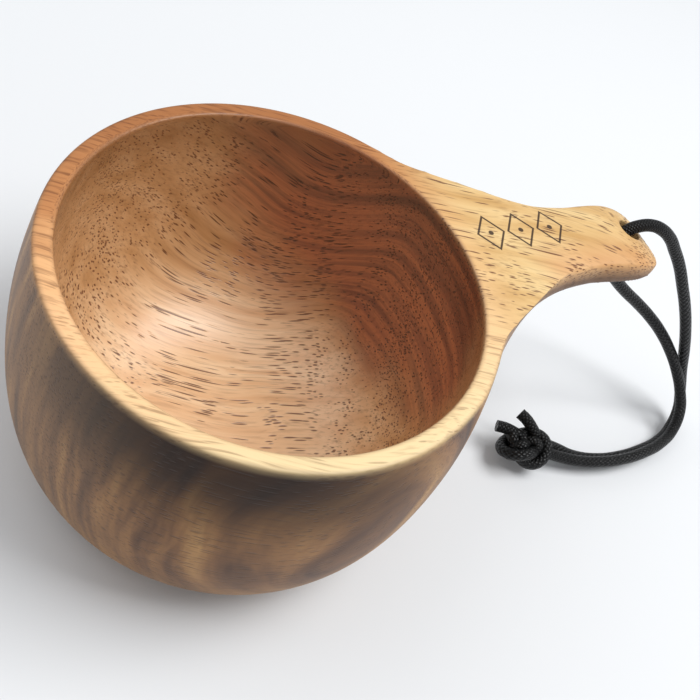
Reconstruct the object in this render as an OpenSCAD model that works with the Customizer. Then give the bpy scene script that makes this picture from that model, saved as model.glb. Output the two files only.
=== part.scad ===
// Kuksa: a drinking cup carved from one block of wood, bowl and handle
// together, with a black cord tied through the hole in the handle.
// Millimetres. The origin is the centre of the foot, +Z is up, and the
// handle points along +X.

/* [Cup] */
// Height from the foot to the rim
cup_height = 62; // [58:1:66]
// Outer diameter of the rim
rim_d = 90; // [86:1:92]
// Largest outer diameter, at the belly
belly_d = 95; // [94:0.5:97]
// Height of the belly above the foot
belly_height = 40; // [36:1:42]
// Diameter of the flat foot
foot_d = 52; // [40:1:56]
// Thickness of the wall at the rim
rim_wall = 4; // [3:0.5:5]
// Thickness of the floor
floor_wall = 8; // [6:0.5:10]
// Radius on both edges of the rim
rim_round = 0.8; // [0.6:0.1:1.5]

/* [Handle] */
// Distance from the cup's axis to the handle's tip
handle_reach = 98; // [94:1:102]
// Width of the handle where it is narrowest
neck_w = 18.4; // [17:0.1:21]
// Direction at which the handle's sides leave the rim, from the handle's line
root_angle = 38.5; // [36:0.5:40]
// Thickness of the handle
handle_t = 10; // [9:0.5:11]
// Radius of the hollow under the handle, against the bowl
under_fillet = 13; // [11:1:14]
// How far the top drops at the tip
tip_drop = 6; // [4:0.5:6.5]

/* [Cord hole] */
// Diameter of the hole
hole_d = 6.4; // [5.5:0.1:7]
// Distance from the hole's centre to the tip
hole_inset = 7.5; // [7:0.5:9]
// How far the hole lies to one side of the handle's centre line
hole_side = 1; // [0:0.5:2]

/* [Cord] */
// Diameter of the cord
cord_d = 3; // [2.6:0.1:3.2]
// Width of the knot across the cord
knot_w = 12.4; // [12:0.2:13]
// Length of the knot along the cord
knot_l = 13; // [12:0.2:14]

/* [Hidden] */
$fn = 96;

wood = [0.80, 0.58, 0.33];
cord_black = [0.06, 0.06, 0.065];

rim_r = rim_d / 2;
belly_r = belly_d / 2;
foot_r = foot_d / 2;
bore_r = rim_r - rim_wall;
// The hollow swells below the rim, and its floor is flat in the middle
bore_belly_r = bore_r + 1.5;
bore_belly_z = belly_height;
bore_flat_r = 15;

// The fillet between the rim circle and the side of the handle
neck_r = neck_w / 2;
fillet_r = (rim_r * sin(root_angle) - neck_r) / (1 - sin(root_angle));
fillet_x = (rim_r + fillet_r) * cos(root_angle);
tip_start = handle_reach - 14;
tip_swell = 0.5;
// The handle lies slightly to one side, and its underside drops at the tip
sideways = -0.5;
under_drop = 2.5;
drop_start = handle_reach - 22;
under_x = belly_r - 0.5 + under_fillet;
ring_points = 28;

// Places of the rings along the handle, close together where its shape turns
ring_places = concat(
    [34, 38, 42, 46, 47.5, 49, 51, 54, 58, 63],
    [for (x = [68 : 4 : tip_start]) x],
    [for (a = [15 : 15 : 75]) tip_start + (handle_reach - tip_start) * sin(a)],
    [handle_reach - 0.1]
);

hole_x = handle_reach - hole_inset;

// Where the two strands run, from the middle of the hole to the knot
upper_route = [
    [89.2, 1.3, 56.5], [89.8, 1.1, 59.2], [92, 0.5, 61.3], [95, -0.3, 62.1],
    [98, -1.3, 61.5], [101.3, -2.5, 59.5], [104.7, -3.6, 56.1], [108.7, -5.2, 51.6],
    [113, -7.1, 45.7], [117.5, -9.2, 39.2], [122, -11.5, 31.7], [126, -13.5, 24.2],
    [129.8, -15.5, 16.2], [132.4, -18, 9.9], [132.6, -21.5, 5], [129.2, -24.8, 2.2],
    [123, -27.6, 1.5], [115, -29, 1.5], [107, -29.3, 1.5], [99.5, -28.4, 1.5],
    [92.5, -26.2, 2], [86.5, -23.4, 3.8], [82, -21.8, 5.4]
];
lower_route = [
    [89.2, 1.3, 56.5], [89.4, 1.2, 53.5], [90.4, 0.8, 50], [92.8, -0.2, 46.6],
    [96.4, -1.1, 43.3], [101.2, -2.4, 39.7], [106.8, -3.9, 36], [112.6, -6.1, 32],
    [117.8, -8.9, 27.8], [122.2, -12.3, 23.2], [125.8, -16.1, 18.2], [128.4, -20, 12.9],
    [129.2, -23.7, 8.1], [126.4, -27, 5], [120.6, -29.6, 4.1], [113.4, -31, 4.1],
    [105.5, -31.4, 4.1], [98, -30.6, 4.1], [91.4, -28.8, 4], [86, -26.5, 4.4],
    [82, -24.8, 5.2]
];
knot_centre = [76, -21.5, 6.3];
knot_turn = 163;
tail_1_route = [[73.6, -18.4, 8], [71.8, -17, 8.2], [69.9, -15.8, 8]];
tail_2_route = [[78.6, -19, 9.3], [77.8, -16.9, 10], [76.8, -14.9, 10.2]];

// Points of a list in the opposite order
function reversed(points) = [for (i = [len(points) - 1 : -1 : 0]) points[i]];

// A quarter of a superellipse, from [x + a, z] at its side down to [x, z - b]
function lower_quarter(x, z, a, b, power) = [
    for (t = [0 : 7.5 : 90]) [x + a * pow(cos(t), 2 / power), z - b * pow(sin(t), 2 / power)]
];

// The wall from its widest place up to the rim, leaning in on a cosine curve
function lean_in(r_low, r_high, z_low, z_high) = [
    for (k = [0.2 : 0.2 : 1])
        [r_high + (r_low - r_high) * cos(90 * k), z_low + (z_high - z_low) * k]
];

// A circle's arc about c, from one angle to another
function arc(c, r, from, to) = [
    for (i = [0 : 4]) let (t = from + (to - from) * i / 4) c + r * [cos(t), sin(t)]
];

// Half section of the solid bowl, from the middle of the foot to the middle of the top
rim_z = cup_height - rim_round;
outer_profile = concat(
    [[0, 0]],
    reversed(lower_quarter(foot_r, belly_height, belly_r - foot_r, belly_height, 2.5)),
    lean_in(belly_r, rim_r, belly_height, rim_z),
    arc([rim_r - rim_round, rim_z], rim_round, 20, 90),
    [[0, cup_height]]
);

// Half section of the hollow, from the middle of its floor to above the rim
inner_profile = concat(
    [[0, floor_wall]],
    reversed(lower_quarter(bore_flat_r, bore_belly_z, bore_belly_r - bore_flat_r,
                           bore_belly_z - floor_wall, 2.1)),
    lean_in(bore_belly_r, bore_r, bore_belly_z, rim_z),
    arc([bore_r + rim_round, rim_z], rim_round, 160, 90),
    [[bore_r + rim_round, cup_height + 1], [0, cup_height + 1]]
);

// How far x lies between two places, from 0 to 1
function part_way(x, from, to) = min(1, max(0, (x - from) / (to - from)));

// Half width of the handle at x: a fillet off the rim, a slight swell, a round tip
function half_width(x) =
    let (
        root = fillet_r - sqrt(pow(fillet_r, 2) - pow(max(0, fillet_x - x), 2)),
        swell = tip_swell * part_way(x, fillet_x, tip_start),
        tip = pow(1 - pow(part_way(x, tip_start, handle_reach), 3), 1 / 2.4)
    )
    (neck_r + root + swell) * tip;

// Heights of the handle's top and underside at x
function top_z(x) = cup_height - tip_drop * pow(part_way(x, drop_start, handle_reach), 2.6);
function under_z(x) =
    let (in = min(under_fillet, max(0, under_x - x)))
    cup_height - handle_t - under_drop * pow(part_way(x, tip_start, handle_reach), 1.5)
        - (under_fillet - sqrt(pow(under_fillet, 2) - pow(in, 2)));

// One ring round the handle at x: softly square on top, rounded underneath
function ring(x) =
    let (
        mid = (top_z(x) + under_z(x)) / 2,
        side = sideways * part_way(x, under_x, tip_start),
        upper_power = 7 - 3 * part_way(x, belly_r, fillet_x)
    )
    [for (t = [0 : 360 / ring_points : 359])
        let (
            power = sin(t) > 0 ? upper_power : 2.4,
            k = pow(pow(abs(cos(t)), power) + pow(abs(sin(t)), power), -1 / power),
            h = sin(t) > 0 ? top_z(x) - mid : mid - under_z(x)
        )
        [x, side + half_width(x) * cos(t) * k, mid + h * sin(t) * k]
    ];

// A closed skin over a list of rings that all have the same number of points
module skin(rings) {
    n = len(rings[0]);
    last = len(rings) - 1;
    first_cap = [for (i = [0 : n - 1]) i];
    last_cap = [for (i = [n - 1 : -1 : 0]) last * n + i];
    sides = [
        for (j = [0 : last - 1], i = [0 : n - 1])
            let (a = j * n + i, b = j * n + (i + 1) % n)
            each [[a, a + n, b + n], [a, b + n, b]]
    ];
    polyhedron(points = [for (r = rings) each r], faces = concat([first_cap], sides, [last_cap]));
}

// Direction of a route at its point i
function unit(v) = v / norm(v);
function along(route, i) = unit(route[min(i + 1, len(route) - 1)] - route[max(i - 1, 0)]);

// Side vectors carried along a route with no twist
function carried(route, i) = i == 0
    ? let (d = along(route, 0), s = abs(d.z) > 0.9 ? [1, 0, 0] : [0, 0, 1]) unit(s - (s * d) * d)
    : let (d = along(route, i), s = carried(route, i - 1)) unit(s - (s * d) * d);

// Rings of an eight-sided tube of diameter d that follows a route
function tube_rings(route, d) = [
    for (i = [0 : len(route) - 1])
        let (a = along(route, i), s = carried(route, i), u = cross(a, s))
        [for (t = [0 : -45 : -315]) route[i] + d / 2 * (cos(t) * s + sin(t) * u)]
];

module cup() {
    color(wood)
        difference() {
            union() {
                rotate_extrude() polygon(outer_profile);
                skin([for (x = ring_places) ring(x)]);
            }
            rotate_extrude() polygon(inner_profile);
            translate([hole_x, hole_side, cup_height / 2]) cylinder(d = hole_d, h = cup_height);
        }
}

module strand(route) {
    color(cord_black) skin(tube_rings(route, cord_d));
}

module cord_knot() {
    color(cord_black)
        translate(knot_centre)
            rotate([0, 0, knot_turn])
                rotate([0, 90, 0])
                    rotate_extrude()
                        polygon([
                            for (t = [-90 : 10 : 90]) [knot_w / 2 * cos(t), knot_l / 2 * sin(t)]
                        ]);
}

cup();
strand(upper_route);  // cord_upper_strand
strand(lower_route);  // cord_lower_strand
cord_knot();
strand(tail_1_route);  // cord_tail_1
strand(tail_2_route);  // cord_tail_2
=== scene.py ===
import math

import bmesh
import bpy
from mathutils import Matrix, Vector


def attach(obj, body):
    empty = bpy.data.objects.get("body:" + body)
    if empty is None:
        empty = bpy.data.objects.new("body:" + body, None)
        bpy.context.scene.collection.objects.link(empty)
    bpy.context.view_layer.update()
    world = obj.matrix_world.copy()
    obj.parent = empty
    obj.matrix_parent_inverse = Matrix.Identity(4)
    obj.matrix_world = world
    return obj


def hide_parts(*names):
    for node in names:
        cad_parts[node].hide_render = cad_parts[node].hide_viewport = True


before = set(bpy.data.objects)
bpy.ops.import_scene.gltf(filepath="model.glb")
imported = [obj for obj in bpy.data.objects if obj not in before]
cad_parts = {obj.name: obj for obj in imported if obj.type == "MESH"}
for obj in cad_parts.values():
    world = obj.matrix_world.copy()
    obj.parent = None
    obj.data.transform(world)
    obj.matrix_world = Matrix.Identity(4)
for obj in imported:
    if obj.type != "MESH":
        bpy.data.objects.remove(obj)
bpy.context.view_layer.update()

MM = 0.001


# ---------------------------------------------------------------- camera
camera_data = bpy.data.cameras.new("camera")
camera_data.lens = 51.43
camera_data.sensor_width = 36
camera_data.clip_start = 0.01
camera = bpy.data.objects.new("camera", camera_data)
camera_right = (0.8643, -0.3894, 0.3183)
camera_up = (0.1381, 0.7923, 0.5943)
camera_back = (-0.4836, -0.4697, 0.7386)
camera.matrix_world = Matrix.Translation((-0.08136, -0.10474, 0.19381)) @ Matrix(
    (camera_right, camera_up, camera_back)
).transposed().to_4x4()
bpy.context.scene.collection.objects.link(camera)
bpy.context.scene.camera = camera


# ---------------------------------------------------------------- cords
CORD_R = 1.5
UPPER_ROUTE = [
    (89.2, 1.3, 56.5), (89.8, 1.1, 59.2), (92, 0.5, 61.3), (95, -0.3, 62.1),
    (98, -1.3, 61.5), (101.3, -2.5, 59.5), (104.7, -3.6, 56.1), (108.7, -5.2, 51.6),
    (113, -7.1, 45.7), (117.5, -9.2, 39.2), (122, -11.5, 31.7), (126, -13.5, 24.2),
    (129.8, -15.5, 16.2), (132.4, -18, 9.9), (132.6, -21.5, 5), (129.2, -24.8, 2.2),
    (123, -27.6, 1.5), (115, -29, 1.5), (107, -29.3, 1.5), (99.5, -28.4, 1.5),
    (92.5, -26.2, 2), (86.5, -23.4, 3.8), (82, -21.8, 5.4),
]
LOWER_ROUTE = [
    (89.2, 1.3, 56.5), (89.4, 1.2, 53.5), (90.4, 0.8, 50), (92.8, -0.2, 46.6),
    (96.4, -1.1, 43.3), (101.2, -2.4, 39.7), (106.8, -3.9, 36), (112.6, -6.1, 32),
    (117.8, -8.9, 27.8), (122.2, -12.3, 23.2), (125.8, -16.1, 18.2), (128.4, -20, 12.9),
    (129.2, -23.7, 8.1), (126.4, -27, 5), (120.6, -29.6, 4.1), (113.4, -31, 4.1),
    (105.5, -31.4, 4.1), (98, -30.6, 4.1), (91.4, -28.8, 4), (86, -26.5, 4.4),
    (82, -24.8, 5.2),
]
KNOT_CENTRE = Vector((76, -21.5, 6.3))
KNOT_TURN = math.radians(163)
# The knot's size, how far its two strands lie apart, its height, and the step along it
KNOT_SCALE = 1.62
KNOT_OFFSET = 1.35
KNOT_RISE = 2.0
KNOT_STEP = 0.255
TAIL_1_ROUTE = [(76, -20.5, 7.5), (73.6, -18.4, 8), (71.8, -17, 8.2), (69.9, -15.8, 8)]
TAIL_2_ROUTE = [(79.2, -21, 8.5), (78.6, -19, 9.3), (77.8, -16.9, 10), (76.8, -14.9, 10.2)]


def cord_piece(name, routes, fineness=8):
    """A mesh of round cord along the routes, in mm, with a UV map in mm: round the cord and along it"""
    curve = bpy.data.curves.new(name, "CURVE")
    curve.dimensions = "3D"
    curve.bevel_depth = CORD_R * MM
    curve.bevel_resolution = 6
    curve.use_fill_caps = True
    curve.resolution_u = fineness
    for route in routes:
        spline = curve.splines.new("BEZIER")
        spline.bezier_points.add(len(route) - 1)
        for point, place in zip(spline.bezier_points, route):
            point.co = Vector(place) * MM
            point.handle_left_type = point.handle_right_type = "AUTO"
    drawn = bpy.data.objects.new(name + "_line", curve)
    bpy.context.scene.collection.objects.link(drawn)
    bpy.context.view_layer.update()
    mesh = bpy.data.meshes.new_from_object(drawn.evaluated_get(bpy.context.evaluated_depsgraph_get()))
    line = centre_line(drawn)
    bpy.data.objects.remove(drawn)
    mesh.name = name
    length = sum((b - a).length for a, b in zip(line, line[1:])) / len(routes)
    for corner in mesh.uv_layers.active.data:
        along, round_it = corner.uv
        corner.uv = (round_it, along * length / MM)
    piece = bpy.data.objects.new(name, mesh)
    bpy.context.scene.collection.objects.link(piece)
    return piece, line


def centre_line(drawn):
    """Points along the middle of a curve, in metres"""
    bare = drawn.data.copy()
    bare.bevel_depth = 0
    probe = bpy.data.objects.new("probe", bare)
    bpy.context.scene.collection.objects.link(probe)
    bpy.context.view_layer.update()
    mesh = bpy.data.meshes.new_from_object(probe.evaluated_get(bpy.context.evaluated_depsgraph_get()))
    bpy.data.objects.remove(probe)
    return [v.co.copy() for v in mesh.vertices]


def knot_route(side):
    """One of the two strands through an overhand knot, in mm: side is -1 or 1"""
    turn = Matrix.Rotation(KNOT_TURN, 3, "Z")
    points = []
    for step in range(-10, 11):
        t = step * KNOT_STEP
        x = math.sin(t) + 2 * math.sin(2 * t)
        y = math.cos(t) - 2 * math.cos(2 * t)
        z = -math.sin(3 * t)
        along = Vector((math.cos(t) + 4 * math.cos(2 * t), -math.sin(t) + 4 * math.sin(2 * t), 0))
        out = Vector((along.y, -along.x, 0)).normalized()
        flat = Vector((x, y, 0)) * KNOT_SCALE + out * KNOT_OFFSET * side
        points.append(KNOT_CENTRE + turn @ Vector((flat.x, flat.y, z * KNOT_RISE)))
    return points


upper_strand, upper_line = cord_piece("cord_strand_upper", [UPPER_ROUTE])
lower_strand, lower_line = cord_piece("cord_strand_lower", [LOWER_ROUTE])
knot, _ = cord_piece("knot", [knot_route(-1), knot_route(1)], 4)
tail_1, _ = cord_piece("cord_tail_left", [TAIL_1_ROUTE])
tail_2, _ = cord_piece("cord_tail_right", [TAIL_2_ROUTE])
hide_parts("cord_upper_strand")
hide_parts("cord_lower_strand")
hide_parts("cord_knot")
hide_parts("cord_tail_1")
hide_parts("cord_tail_2")
CORD_PIECES = [upper_strand, lower_strand, knot, tail_1, tail_2]
for piece in CORD_PIECES:
    for face in piece.data.polygons:
        face.use_smooth = True
    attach(piece, "lanyard")


# ---------------------------------------------------------------- cup
# Sizes in mm, as in the CAD
HEIGHT = 62
RIM_R = 45
BELLY_R = 47.5
BELLY_Z = 40
FOOT_R = 26
OUTER_POWER = 2.5
BORE_R = 41
BORE_BELLY_R = 42.5
BORE_FLAT_R = 15
BORE_POWER = 2.1
FLOOR_Z = 8
RIM_ROUND = 0.8
RIM_HALF = 0.23
REACH = 98
NECK_R = 9.2
FILLET_R = 49.84
FILLET_X = 74.22
HANDLE_T = 10
TIP_START = 84
TIP_SWELL = 0.5
TIP_ALONG = 3
TIP_ACROSS = 2.4
DROP_START = 76
TOP_DROP = 6
UNDER_DROP = 2.5
HOLE = (90.5, 1.0)
# The loop round each mouth of the hole
MOUTH_R = 3.2 * 1.02
SEGMENTS = 64
ROOT_STEPS = 7
ROWS = 6


def part_way(x, start, end):
    """How far x lies between two places, from 0 to 1"""
    return min(1, max(0, (x - start) / (end - start)))


def outer_r(z):
    """Outer radius of the bowl at a height"""
    if z < BELLY_Z:
        low = (BELLY_Z - z) / BELLY_Z
        return FOOT_R + (BELLY_R - FOOT_R) * (1 - low**OUTER_POWER) ** (1 / OUTER_POWER)
    lean = math.pi / 2 * part_way(z, BELLY_Z, HEIGHT - RIM_ROUND)
    return RIM_R + (BELLY_R - RIM_R) * math.cos(lean)


def inner_r(z):
    """Radius of the hollow at a height"""
    if z < BELLY_Z:
        low = (BELLY_Z - z) / (BELLY_Z - FLOOR_Z)
        return BORE_FLAT_R + (BORE_BELLY_R - BORE_FLAT_R) * (1 - low**BORE_POWER) ** (1 / BORE_POWER)
    lean = math.pi / 2 * part_way(z, BELLY_Z, HEIGHT - RIM_ROUND)
    return BORE_R + (BORE_BELLY_R - BORE_R) * math.cos(lean)


def half_width(x):
    """Half width of the handle, without its round tip"""
    root = FILLET_R - math.sqrt(FILLET_R**2 - max(0, FILLET_X - x) ** 2)
    return NECK_R + root + TIP_SWELL * part_way(x, FILLET_X, TIP_START)


def top_z(x):
    """Height of the handle's top"""
    return HEIGHT - TOP_DROP * part_way(x, DROP_START, REACH) ** 2.6


def thickness(x):
    """Thickness of the handle along its middle"""
    return top_z(x) - (HEIGHT - HANDLE_T - UNDER_DROP * part_way(x, TIP_START, REACH) ** 1.5)


def sideways(x):
    """The handle lies half a millimetre to one side of the cup's middle"""
    return -0.5 * part_way(x, 60, TIP_START)


def edge_share(x, y):
    """0 on the handle's middle line and 1 on its outline"""
    tip = part_way(x, TIP_START, REACH)
    return min(1, (abs(y / half_width(x)) ** 2.3 + tip**2.5) ** (1 / 2.4))


def under_z(x, y):
    """Height of the handle's rounded underside"""
    depth = 0.5 + 0.5 * (1 - edge_share(x, y) ** 2.4) ** (1 / 2.4)
    return top_z(x) - thickness(x) * depth


OUTER_ROWS = [HEIGHT - RIM_HALF, 61, 56, 51, 45, 38.5]
OUTER_LOWER = [32, 26, 20.5, 15.5, 11, 7.5, 4.6, 2.4, 1, 0.25]
INNER_ROWS = [61, 56, 50, 44, 38, 32, 26.5, 21.5, 17.5, 14, 11.4, 9.6, 8.5, 8.1]


def bowl_section():
    """Half section of the bowl, from the middle of the foot over the rim to the middle of the floor"""
    points = [(0, 0), (3, 0), (9, 0), (17, 0), (FOOT_R - 2, 0)]
    points += [(outer_r(z), z) for z in reversed(OUTER_LOWER)]
    points += [(outer_r(z), z) for z in reversed(OUTER_ROWS[1:])]
    points += [(RIM_R - RIM_HALF, HEIGHT - RIM_HALF), (RIM_R - RIM_ROUND, HEIGHT)]
    points += [(BORE_R + RIM_ROUND, HEIGHT), (BORE_R + RIM_HALF, HEIGHT - RIM_HALF)]
    points += [(inner_r(z), z) for z in INNER_ROWS]
    points += [(r, FLOOR_Z) for r in (BORE_FLAT_R, 11, 7, 3, 0)]
    return points


def bowl(bm):
    """Turns the half section once round"""
    points = [bm.verts.new((r * MM, 0, z * MM)) for r, z in bowl_section()]
    edges = [bm.edges.new(pair) for pair in zip(points, points[1:])]
    bmesh.ops.spin(
        bm, geom=points + edges, cent=(0, 0, 0), axis=(0, 0, 1), dvec=(0, 0, 0),
        angle=math.tau, steps=SEGMENTS, use_merge=True, use_duplicate=False,
    )
    bmesh.ops.remove_doubles(bm, verts=bm.verts[:], dist=1e-6)
    bmesh.ops.recalc_face_normals(bm, faces=bm.faces[:])


def root_place(i, j):
    """Where the handle's grid starts on the bowl: i from side to side, j from the rim down"""
    angle = math.radians((i - ROOT_STEPS) * 360 / SEGMENTS)
    if j == 0:
        r, z = RIM_R - RIM_ROUND, HEIGHT
    elif j == 1:
        r, z = RIM_R - RIM_HALF, HEIGHT - RIM_HALF
    else:
        z = OUTER_ROWS[j - 1]
        r = outer_r(z)
    return Vector((r * math.cos(angle), r * math.sin(angle), z))


# Shares of the handle's half width across its grid, then the shares of its half width and
# thickness at each row from its top edge down
ACROSS = [-1, -0.9, -0.76, -0.61, -0.46, -0.31, -0.155, 0]
ACROSS += [-a for a in reversed(ACROSS[:-1])]
SIDE_SHARE = [0.985, 1, 1, 0.95, 0.85, 0.72, 0.56]
SIDE_DEPTH = [0.09, 0.22, 0.5]


def handle_place(i, j, x_side, x_middle):
    """A point on the handle's skin: its row of the grid bends from x_side at the sides to x_middle"""
    s = ACROSS[i]
    x = x_side + (x_middle - x_side) * (1 - abs(s) ** 2.2)
    tip = part_way(x_side, TIP_START, REACH)
    w = half_width(x_side) * (1 - tip**TIP_ALONG) ** (1 / TIP_ACROSS)
    if j == 0:
        y = s * (w - 0.5)
        z = top_z(x) - thickness(x) * SIDE_DEPTH[0] * abs(s) ** 3.5
    elif i in (0, 2 * ROOT_STEPS):
        y = s * w * SIDE_SHARE[j]
        z = under_z(x, y) if j > 2 else top_z(x) - thickness(x) * SIDE_DEPTH[j]
    else:
        y = s * w * SIDE_SHARE[-1]
        z = under_z(x, y)
    y += sideways(x) + (HOLE[1] - sideways(x)) * (1 - s * s) * part_way(x, DROP_START, HOLE[0])
    return Vector((x, y, z))


def tip_place(i, j, inset=0.0):
    """A point on the wall round the handle's tip, or that far inside it on the top and underneath"""
    angle = math.radians((i - ROOT_STEPS) * (60 + 2.3 * inset) / ROOT_STEPS)
    w = half_width(REACH)
    flat = Vector((
        TIP_START + (REACH - TIP_START) * math.cos(angle) ** (2 / TIP_ALONG),
        math.copysign(w * abs(math.sin(angle)) ** (2 / TIP_ACROSS), angle),
    ))
    inwards = Vector((-math.cos(angle), -0.9 * math.sin(angle))).normalized()
    depth = w * (1 - SIDE_SHARE[j]) * (0.45 + 0.55 * abs(ACROSS[i]) ** 2)
    flat += inwards * (depth + inset * (1 - ACROSS[i] ** 4))
    if j > 2:
        z = under_z(flat.x, flat.y)
    else:
        crown = max(0.3, abs(ACROSS[i]) ** 3.5) if inset else 1
        z = top_z(flat.x) - thickness(flat.x) * SIDE_DEPTH[j] * crown
    return Vector((flat.x, flat.y + sideways(flat.x), z))


def root_curve(i, j, t):
    """A point on the way from the bowl to the handle, smooth at both ends"""
    last = 2 * ROOT_STEPS
    start, end = root_place(i, j), handle_place(i, j, FILLET_X, FILLET_X)
    angle = math.atan2(start.y, start.x)
    radial = Vector((math.cos(angle), math.sin(angle), 0))
    inwards = Vector((-math.sin(angle), math.cos(angle), 0)) * (1 if i < ROOT_STEPS else -1)
    up = Vector((0, 0, 1))
    near = 1 - min(i, last - i) / ROOT_STEPS
    if i in (0, last):
        leave = inwards + up * 0.7 * (j / ROWS) ** 2
        length, arrive = 15, 15
    elif j == 0:
        leave = radial * (1 - near**3) + inwards * near**3
        length, arrive = 9 + 6 * near**3, 12
    else:
        leave = up + inwards * 1.4 * near**1.5
        length, arrive = 9 + 6 * near**2, 18
    a = start + leave.normalized() * length
    b = end - Vector((arrive, 0, 0))
    return (1 - t) ** 3 * start + 3 * (1 - t) ** 2 * t * a + 3 * (1 - t) * t * t * b + t**3 * end


def filled(place):
    """The grid's inner points, between its top and bottom rows, where only its outline is wanted"""
    def at(i, j):
        if j in (0, ROWS) or i in (0, 2 * ROOT_STEPS):
            return place(i, j)
        return place(i, 0).lerp(place(i, ROWS), j / ROWS)
    return at


def extend(bm, grid, place):
    """Extrudes the grid of faces once more and moves it to new places"""
    verts = set(grid.values())
    faces = [f for f in bm.faces if all(v in verts for v in f.verts)]
    places = {tuple(round(c, 7) for c in v.co): key for key, v in grid.items()}
    made = bmesh.ops.extrude_face_region(bm, geom=faces)["geom"]
    grid = {}
    for v in made:
        if isinstance(v, bmesh.types.BMVert):
            grid[places[tuple(round(c, 7) for c in v.co)]] = v
    bmesh.ops.delete(bm, geom=[f for f in faces if f.is_valid], context="FACES_ONLY")
    for key, v in grid.items():
        v.co = place(*key) * MM
    return grid


def handle(bm):
    """Draws the handle out of the bowl's wall, ring by ring, and makes the hole"""
    keys = [(i, j) for i in range(2 * ROOT_STEPS + 1) for j in range(ROWS + 1)]
    grid = {key: min(bm.verts, key=lambda v: (v.co - root_place(*key) * MM).length) for key in keys}
    for t in (0.07, 0.17, 0.3, 0.45, 0.62, 0.8, 1):
        grid = extend(bm, grid, filled(lambda i, j: root_curve(i, j, t)))
    rings = []
    for x_side, x_middle in HANDLE_RINGS:
        grid = extend(bm, grid, filled(lambda i, j: handle_place(i, j, x_side, x_middle)))
        rings.append(grid)
    grid = extend(bm, grid, filled(lambda i, j: tip_place(i, j, 1.1)))
    grid = extend(bm, grid, tip_place)
    bore(bm, rings[HOLE_RING:HOLE_RING + 5])


HANDLE_RINGS = [
    (77, 77), (80.5, 80.5), (83.5, 84), (85.2, 86.2),
    (86.4, 87.6), (87.6, 89), (88.7, 90.5), (89.6, 92), (90.5, 93.4), (91.2, 94.7),
]
HOLE_RING = 4


def bore(bm, rings):
    """Opens the hole through the handle, in the middle of its grid, with rounded mouths"""
    loops = []
    block_columns = range(ROOT_STEPS - 2, ROOT_STEPS + 3)
    for j in (0, ROWS):
        block = {(i, k): ring[(i, j)] for k, ring in enumerate(rings) for i in block_columns}
        inner = [v for (i, k), v in block.items() if abs(i - ROOT_STEPS) < 2 and abs(k - 2) < 2]
        for (i, k), v in block.items():
            across, along = i - ROOT_STEPS, k - 2
            share = max(abs(across), abs(along))
            if share == 2:
                angle = math.atan2(across, along)
                if abs(across) != abs(along):
                    steps = round(math.degrees(angle) / 22.5)
                    angle = math.radians(steps * 22.5)
                x = HOLE[0] + MOUTH_R * math.cos(angle)
                y = HOLE[1] + MOUTH_R * math.sin(angle)
                v.co = Vector((x, y, top_z(x) if j == 0 else under_z(x, y))) * MM
        edge = [v for v in block.values() if v not in inner]
        bmesh.ops.delete(bm, geom=inner, context="VERTS")
        edges = [e for e in bm.edges if e.is_boundary and all(v in edge for v in e.verts)]
        for drop in (0.25, 0.8):
            made = bmesh.ops.extrude_edge_only(bm, edges=edges)["geom"]
            edges = [e for e in made if isinstance(e, bmesh.types.BMEdge) and e.is_boundary]
            for v in {v for e in edges for v in e.verts}:
                v.co.z += (-1 if j == 0 else 1) * drop * MM
                out = Vector((v.co.x - HOLE[0] * MM, v.co.y - HOLE[1] * MM, 0))
                if drop < 0.5:
                    v.co -= out.normalized() * 0.25 * MM
        loops += edges
    bmesh.ops.bridge_loops(bm, edges=loops)


def cup_mesh():
    """The cup's mesh, with attributes that say where its outside skin and its hollow are"""
    bm = bmesh.new()
    bowl(bm)
    handle(bm)
    bmesh.ops.recalc_face_normals(bm, faces=bm.faces[:])
    mesh = bpy.data.meshes.new("cup")
    bm.to_mesh(mesh)
    bm.free()
    outside = mesh.attributes.new("outside", "FLOAT", "POINT")
    hollow = mesh.attributes.new("hollow", "FLOAT", "POINT")
    for v in mesh.vertices:
        x, y, z = v.co / MM
        r = math.hypot(x, y)
        within = z > FLOOR_Z - 1 and r < (inner_r(max(z, FLOOR_Z)) + outer_r(z)) / 2
        hollow.data[v.index].value = part_way(HEIGHT - z, 0.05, 0.4) if within else 0
        # The pale top runs over the soft edges of the handle
        edge = part_way(x, 46, 60)
        depth = part_way(top_z(x) - z, 0.05 + 1.2 * edge, 0.4 + 3.2 * edge)
        outside.data[v.index].value = 0 if within else depth
    return mesh


cup = bpy.data.objects.new("kuksa", cup_mesh())
bpy.context.scene.collection.objects.link(cup)
for face in cup.data.polygons:
    face.use_smooth = True
smooth = cup.modifiers.new("smooth", "SUBSURF")
smooth.levels = 2
smooth.render_levels = 2
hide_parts("cup")
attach(cup, "cup")


# ---------------------------------------------------------------- materials
def colour(code):
    """A hex colour as it is seen on a screen, as linear values for a shader"""
    parts = [int(code[i:i + 2], 16) / 255 for i in (1, 3, 5)]
    return tuple(p / 12.92 if p <= 0.04045 else ((p + 0.055) / 1.055) ** 2.4 for p in parts) + (1,)


def add(tree, kind, inputs=None, **settings):
    """A node with its settings, and values or links for its inputs"""
    made = tree.nodes.new("ShaderNode" + kind)
    for name, value in settings.items():
        setattr(made, name, value)
    for key, value in (inputs or {}).items():
        if isinstance(value, bpy.types.NodeSocket):
            tree.links.new(value, made.inputs[key])
        else:
            made.inputs[key].default_value = value
    return made


def material(name):
    """An empty material and its tree, with the shader and the output in place"""
    made = bpy.data.materials.new(name)
    made.use_nodes = True
    tree = made.node_tree
    tree.nodes.clear()
    shader = add(tree, "BsdfPrincipled")
    add(tree, "OutputMaterial", {"Surface": shader.outputs[0]})
    return made, tree, shader


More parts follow.
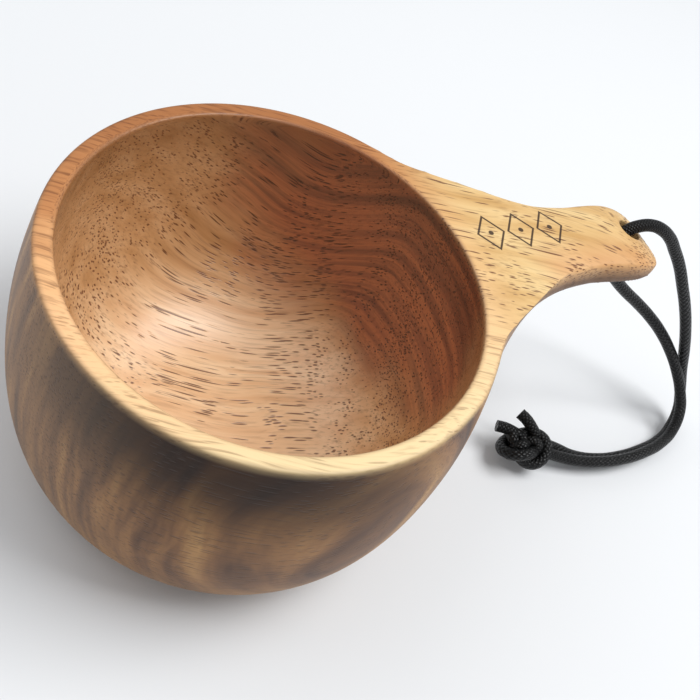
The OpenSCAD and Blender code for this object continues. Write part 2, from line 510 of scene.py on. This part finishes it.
def streaks(tree, vector, size, detail):
    """Noise from 0 to 1 whose patches are of that size, in mm, along the three axes"""
    cells = add(tree, "Mapping", {"Vector": vector, "Scale": [1 / s for s in size]})
    made = add(tree, "TexNoise", {"Vector": cells.outputs[0], "Scale": 1, "Detail": detail})
    return made.outputs[0]


def between(tree, value, low, high):
    """0 where the value is low and 1 where it is high, smooth in between"""
    made = add(
        tree, "MapRange", {0: value, 1: low, 2: high}, interpolation_type="SMOOTHSTEP"
    )
    return made.outputs[0]


def blended(tree, share, a, b, how="MIX"):
    """Colour a where share is 0 and b where it is 1"""
    made = add(tree, "Mix", {0: share, 6: a, 7: b}, data_type="RGBA", blend_type=how)
    return made.outputs[2]


def ramp(tree, value, stops):
    """A colour for each value: stops are places from 0 to 1 with hex colours"""
    made = add(tree, "ValToRGB", {0: value})
    band = made.color_ramp
    while len(band.elements) < len(stops):
        band.elements.new(0.5)
    for element, (where, code) in zip(band.elements, stops):
        element.position = where
        element.color = colour(code)
    return made.outputs[0]


def maths(tree, how, a, b=0.0):
    """One step of arithmetic on values or links"""
    return add(tree, "Math", {0: a, 1: b}, operation=how).outputs[0]


def pores(tree, vector, size, share, radius):
    """1 inside a pore and 0 outside: one pore in some of the cells of that size, in mm"""
    cells = add(tree, "Mapping", {"Vector": vector, "Scale": [1 / s for s in size]})
    cell = add(tree, "TexVoronoi", {"Vector": cells.outputs[0], "Scale": 1})
    chance = add(tree, "SeparateColor", {0: cell.outputs["Color"]}).outputs[0]
    excess = maths(tree, "SUBTRACT", maths(tree, "ADD", chance, share), 1)
    reach = maths(tree, "MULTIPLY", maths(tree, "MAXIMUM", excess, 0), 3)
    reach = maths(tree, "MINIMUM", reach, radius)
    core = maths(tree, "MULTIPLY", reach, 0.5)
    return between(tree, cell.outputs["Distance"], reach, core)


def wood():
    """Oiled hardwood: pale sapwood with open pores, paler on the floor partly as painted light,
    red-brown heartwood in the hollow deepened with painted shade towards the handle, and a dark brown
    skin on the outside with painted shade and sheen in places"""
    made, tree, shader = material("oiled wood")
    place = add(tree, "TexCoord").outputs["Object"]
    mm = add(tree, "Mapping", {"Vector": place, "Scale": (1000, 1000, 1000)}).outputs[0]
    xyz = add(tree, "SeparateXYZ", {0: mm})
    x, y, z = xyz.outputs[0], xyz.outputs[1], xyz.outputs[2]
    wave = add(tree, "TexNoise", {"Vector": mm, "Scale": 0.028, "Detail": 1}).outputs[1]
    bent = add(tree, "VectorMath", {0: wave, "Scale": 9}, operation="SCALE").outputs[0]
    bent = add(tree, "VectorMath", {0: mm, 1: bent}).outputs[0]
    outside = add(tree, "Attribute", attribute_name="outside").outputs["Fac"]
    hollow = add(tree, "Attribute", attribute_name="hollow").outputs["Fac"]
    # The grain dips towards the handle in the far wall of the hollow
    dip = maths(tree, "MULTIPLY", between(tree, y, 12, 40), hollow)
    dip = maths(tree, "MULTIPLY", maths(tree, "MULTIPLY", dip, x), 0.7)
    dip = add(tree, "CombineXYZ", {2: dip}).outputs[0]
    bent = add(tree, "VectorMath", {0: bent, 1: dip}).outputs[0]
    grain = add(
        tree, "Mapping", {"Vector": bent, "Rotation": (0, math.radians(5), math.radians(23))}
    ).outputs[0]

    wide = streaks(tree, grain, (50, 5, 5), 4)
    fine = streaks(tree, grain, (14, 0.7, 0.7), 2)
    cloud = streaks(tree, mm, (22, 22, 22), 2)

    # Sapwood in the hollow, darker on the wall and paler on the floor; the pale floor is partly painted
    # light, where the key light reaches into the hollow
    wall = ramp(
        tree, wide, [(0.3, "#ae8050"), (0.5, "#c29566"), (0.66, "#cda376"), (0.78, "#b28454")]
    )
    bottom = ramp(
        tree, wide, [(0.3, "#e0b080"), (0.5, "#edc598"), (0.66, "#f6d4aa"), (0.78, "#e6b787")]
    )
    sap = blended(tree, between(tree, z, 26, 10), wall, bottom)

    # Heartwood towards the handle, with layers that show as rings on the turned wall; its red-brown is
    # partly heartwood and partly painted shade on the steep wall that faces away from the key light
    layers = streaks(tree, bent, (70, 70, 4), 4)
    rings = streaks(tree, bent, (60, 60, 0.9), 2)
    layers = maths(tree, "MULTIPLY", layers, 0.75)
    layers = maths(tree, "ADD", layers, maths(tree, "MULTIPLY", rings, 0.25))
    heart_and_shade = ramp(
        tree, layers, [(0.34, "#6a3b2c"), (0.46, "#91563d"), (0.55, "#b06b47"), (0.66, "#794533")]
    )
    # The red-brown share grows towards the handle and up the wall: heartwood, together with painted
    # shade on that wall
    lean = maths(tree, "ADD", maths(tree, "MULTIPLY", x, 0.85), maths(tree, "MULTIPLY", y, 0.3))
    lean = maths(tree, "ADD", lean, maths(tree, "MULTIPLY", maths(tree, "MINIMUM", z, 35), 0.55))
    lean = maths(tree, "ADD", lean, maths(tree, "MULTIPLY", maths(tree, "SUBTRACT", cloud, 0.5), 22))
    red = between(tree, lean, 32, 50)
    inner = blended(tree, red, sap, heart_and_shade)
    # Painted shade: the hollow darkens towards the rim, where the rim and the wall shade it
    painted_shade_in_hollow = blended(tree, 1.0, inner, colour("#c9bbad"), "MULTIPLY")
    inner = blended(tree, between(tree, z, 44, 66), inner, painted_shade_in_hollow)

    # Rim and handle: cream in front to darker peach at the back of the rim, a painted highlight and
    # shade over the grain, golden on the handle
    across = maths(tree, "ADD", y, maths(tree, "MULTIPLY", maths(tree, "SUBTRACT", wide, 0.5), 30))
    rim = ramp(
        tree, add(tree, "MapRange", {0: across, 1: -45, 2: 45}).outputs[0],
        [(0.05, "#e8ce9e"), (0.4, "#edbd8b"), (0.56, "#e3ad78"), (0.7, "#bd8150"), (0.9, "#a56b3f")],
    )
    gold = ramp(tree, wide, [(0.32, "#c39a60"), (0.5, "#d6b27a"), (0.68, "#e0c28c")])
    top = blended(tree, between(tree, x, 30, 50), rim, gold)
    rosy = maths(tree, "MULTIPLY", between(tree, y, 1, -9), between(tree, x, 54, 64))
    top = blended(tree, maths(tree, "MULTIPLY", rosy, 0.5), top, colour("#cf9468"))

    # The skin outside: painted shade, darkest under the rim in front and along the handle's sides; a
    # painted sheen, paler at the two ends; and paler near the foot
    broad = streaks(tree, bent, (60, 3.4, 34), 5)
    skin = ramp(
        tree, broad, [(0.3, "#4b2e1b"), (0.44, "#76502f"), (0.56, "#966a3e"), (0.7, "#b88b55")]
    )
    front = maths(tree, "ADD", maths(tree, "MULTIPLY", x, -0.6), maths(tree, "MULTIPLY", y, -0.8))
    # Painted shade: the front of the skin under the rim is darkened where the rim shades it
    painted_shade_under_rim = maths(tree, "MULTIPLY", between(tree, front, 18, 44), between(tree, z, 36, 58))
    skin = blended(tree, painted_shade_under_rim, skin, blended(tree, 1.0, skin, colour("#5f544c"), "MULTIPLY"))
    # Painted sheen: the skin turns paler towards the two ends, where it turns away from view
    ends = between(tree, maths(tree, "ABSOLUTE", maths(tree, "ADD", x, 4)), 26, 48)
    skin = blended(tree, maths(tree, "MULTIPLY", ends, 0.35), skin, colour("#a68c74"))
    low = maths(tree, "MULTIPLY", between(tree, z, 24, 6), 0.4)
    skin = blended(tree, low, skin, colour("#b08453"))
    # Painted shade: the skin darkens along the handle's sides
    far = maths(tree, "MULTIPLY", between(tree, x, 50, 62), 0.75)
    skin = blended(tree, far, skin, colour("#6f4e33"))
    base = blended(tree, outside, blended(tree, hollow, top, inner), skin)
    dark = blended(tree, maths(tree, "MULTIPLY", red, hollow), colour("#623419"), colour("#2c1815"))
    dark = blended(tree, outside, dark, colour("#3b2d26"))

    # Pores, longest along the grain, in looser and denser patches
    patch = between(tree, streaks(tree, grain, (30, 9, 9), 2), 0.35, 0.7)
    patch = maths(tree, "MAXIMUM", patch, maths(tree, "MULTIPLY", rosy, 1.2))
    often = maths(tree, "ADD", maths(tree, "MULTIPLY", patch, 0.47), 0.28)
    short = pores(tree, grain, (8.5, 0.62, 0.62), often, 0.38)
    dense = maths(tree, "MULTIPLY", between(tree, wide, 0.54, 0.62), 0.5)
    long = pores(tree, grain, (24, 0.72, 0.72), maths(tree, "ADD", dense, 0.4), 0.38)
    holes = maths(tree, "MAXIMUM", short, long)
    calm = maths(tree, "SUBTRACT", 1, maths(tree, "MULTIPLY", outside, 0.55))
    on_rim = maths(tree, "MULTIPLY", between(tree, z, 61, 61.6), between(tree, x, 46, 34))
    calm = maths(tree, "SUBTRACT", calm, maths(tree, "MULTIPLY", on_rim, 0.55))
    holes = maths(tree, "MULTIPLY", holes, calm)
    faint = maths(tree, "MULTIPLY", on_rim, between(tree, y, -10, 15))
    faint = maths(tree, "ADD", 0.22, maths(tree, "MULTIPLY", faint, 0.4))
    base = blended(tree, maths(tree, "MULTIPLY", between(tree, fine, 0.48, 0.72), faint), base, dark)
    lines = between(tree, streaks(tree, grain, (28, 0.6, 0.6), 2), 0.56, 0.7)
    lines = maths(tree, "MULTIPLY", lines, between(tree, wide, 0.42, 0.62))
    base = blended(tree, maths(tree, "MULTIPLY", lines, 0.5), base, dark)
    base = blended(tree, maths(tree, "MULTIPLY", holes, 0.85), base, dark)

    # A burnt chain of three diamonds, each with a dot, on the handle
    mark = add(tree, "Mapping", {"Vector": mm, "Location": (-58, -2.5, 0)})
    uvw = add(tree, "SeparateXYZ", {0: mark.outputs[0]})
    u, v = uvw.outputs[0], maths(tree, "ABSOLUTE", uvw.outputs[1])
    near = maths(tree, "PINGPONG", u, 4)
    ring = maths(tree, "ADD", maths(tree, "DIVIDE", near, 3.4), maths(tree, "DIVIDE", v, 4.6))
    ring = maths(tree, "ABSOLUTE", maths(tree, "SUBTRACT", ring, 1))
    line = between(tree, ring, 0.11, 0.06)
    dot = maths(tree, "ADD", maths(tree, "MULTIPLY", near, near), maths(tree, "MULTIPLY", v, v))
    burnt = maths(tree, "MAXIMUM", line, between(tree, dot, 0.5, 0.25))
    burnt = maths(tree, "MULTIPLY", burnt, maths(tree, "LESS_THAN", maths(tree, "ABSOLUTE", u), 12))
    burnt = maths(tree, "MULTIPLY", burnt, maths(tree, "GREATER_THAN", z, 60))
    burnt = maths(tree, "MULTIPLY", burnt, maths(tree, "GREATER_THAN", x, 44))
    base = blended(tree, maths(tree, "MULTIPLY", burnt, 0.92), base, colour("#2a1712"))

    tree.links.new(base, shader.inputs["Base Color"])
    rough = maths(tree, "ADD", 0.44, maths(tree, "MULTIPLY", hollow, -0.07))
    tree.links.new(rough, shader.inputs["Roughness"])
    gloss = maths(tree, "ADD", 0.3, maths(tree, "MULTIPLY", hollow, 0.4))
    gloss = maths(tree, "SUBTRACT", gloss, maths(tree, "MULTIPLY", outside, 0.06))
    tree.links.new(gloss, shader.inputs["Specular IOR Level"])
    sunk = maths(tree, "ADD", maths(tree, "MULTIPLY", holes, 0.7), burnt)
    sunk = maths(tree, "ADD", sunk, maths(tree, "MULTIPLY", fine, 0.25))
    sunk = maths(tree, "ADD", sunk, maths(tree, "MULTIPLY", rings, maths(tree, "MULTIPLY", hollow, 0.3)))
    bump = add(tree, "Bump", {"Height": sunk, "Strength": 0.5, "Distance": 0.0002}, invert=True)
    tree.links.new(bump.outputs[0], shader.inputs["Normal"])
    return made


def braid():
    """Black braided polyester cord, patterned by its own UV map in mm"""
    made, tree, shader = material("braided polyester cord")
    uv = add(tree, "SeparateXYZ", {0: add(tree, "TexCoord").outputs["UV"]})
    turn, along = uv.outputs[0], uv.outputs[1]
    sides = []
    for way in (1, -1):
        round_it = maths(tree, "MULTIPLY", turn, 6 * math.pi)
        phase = maths(tree, "ADD", round_it, maths(tree, "MULTIPLY", along, way * 2.6))
        sides.append(maths(tree, "ABSOLUTE", maths(tree, "SINE", phase)))
    weave = maths(tree, "SQRT", maths(tree, "MULTIPLY", *sides))
    place = add(tree, "TexCoord").outputs["Object"]
    uneven = add(tree, "TexNoise", {"Vector": place, "Scale": 700}).outputs[0]
    height = maths(tree, "ADD", weave, maths(tree, "MULTIPLY", uneven, 0.5))
    # Painted shade: the braid's grooves are a little darker than its crowns
    shade = blended(tree, weave, colour("#020202"), colour("#0b0b0c"))
    tree.links.new(shade, shader.inputs["Base Color"])
    shader.inputs["Roughness"].default_value = 0.32
    shader.inputs["Specular IOR Level"].default_value = 0.28
    bump = add(tree, "Bump", {"Height": height, "Strength": 0.9, "Distance": 0.00025})
    tree.links.new(bump.outputs[0], shader.inputs["Normal"])
    return made


cup.data.materials.append(wood())
cord_finish = braid()
for piece in CORD_PIECES:
    piece.data.materials.append(cord_finish)


# ---------------------------------------------------------------- stage and light
bpy.ops.mesh.primitive_plane_add(size=4, location=(0, 0, -0.0002))
floor = bpy.context.object
floor.name = "floor"
floor_material, _, floor_shader = material("paper sweep")
floor_shader.inputs["Base Color"].default_value = colour("#e0e2e4")
floor_shader.inputs["Roughness"].default_value = 0.9
floor.data.materials.append(floor_material)

world = bpy.data.worlds.new("studio")
bpy.context.scene.world = world
world.use_nodes = True
world.node_tree.nodes["Background"].inputs["Color"].default_value = colour("#f5f7fa")
world.node_tree.nodes["Background"].inputs["Strength"].default_value = 0.52


def softbox(name, place, size, power):
    """A square lamp that faces the cup"""
    light = bpy.data.lights.new(name, "AREA")
    light.shape = "SQUARE"
    light.size = size
    light.energy = power
    lamp = bpy.data.objects.new(name, light)
    lamp.location = place
    lamp.rotation_euler = (Vector((0.02, 0, 0.04)) - Vector(place)).to_track_quat("-Z", "Y").to_euler()
    bpy.context.scene.collection.objects.link(lamp)


softbox("key", (0.36, -0.2, 0.8), 0.5, 6.2)
softbox("fill", (-0.35, 0.4, 0.7), 0.8, 2.1)

bpy.context.scene.view_settings.view_transform = "Standard"
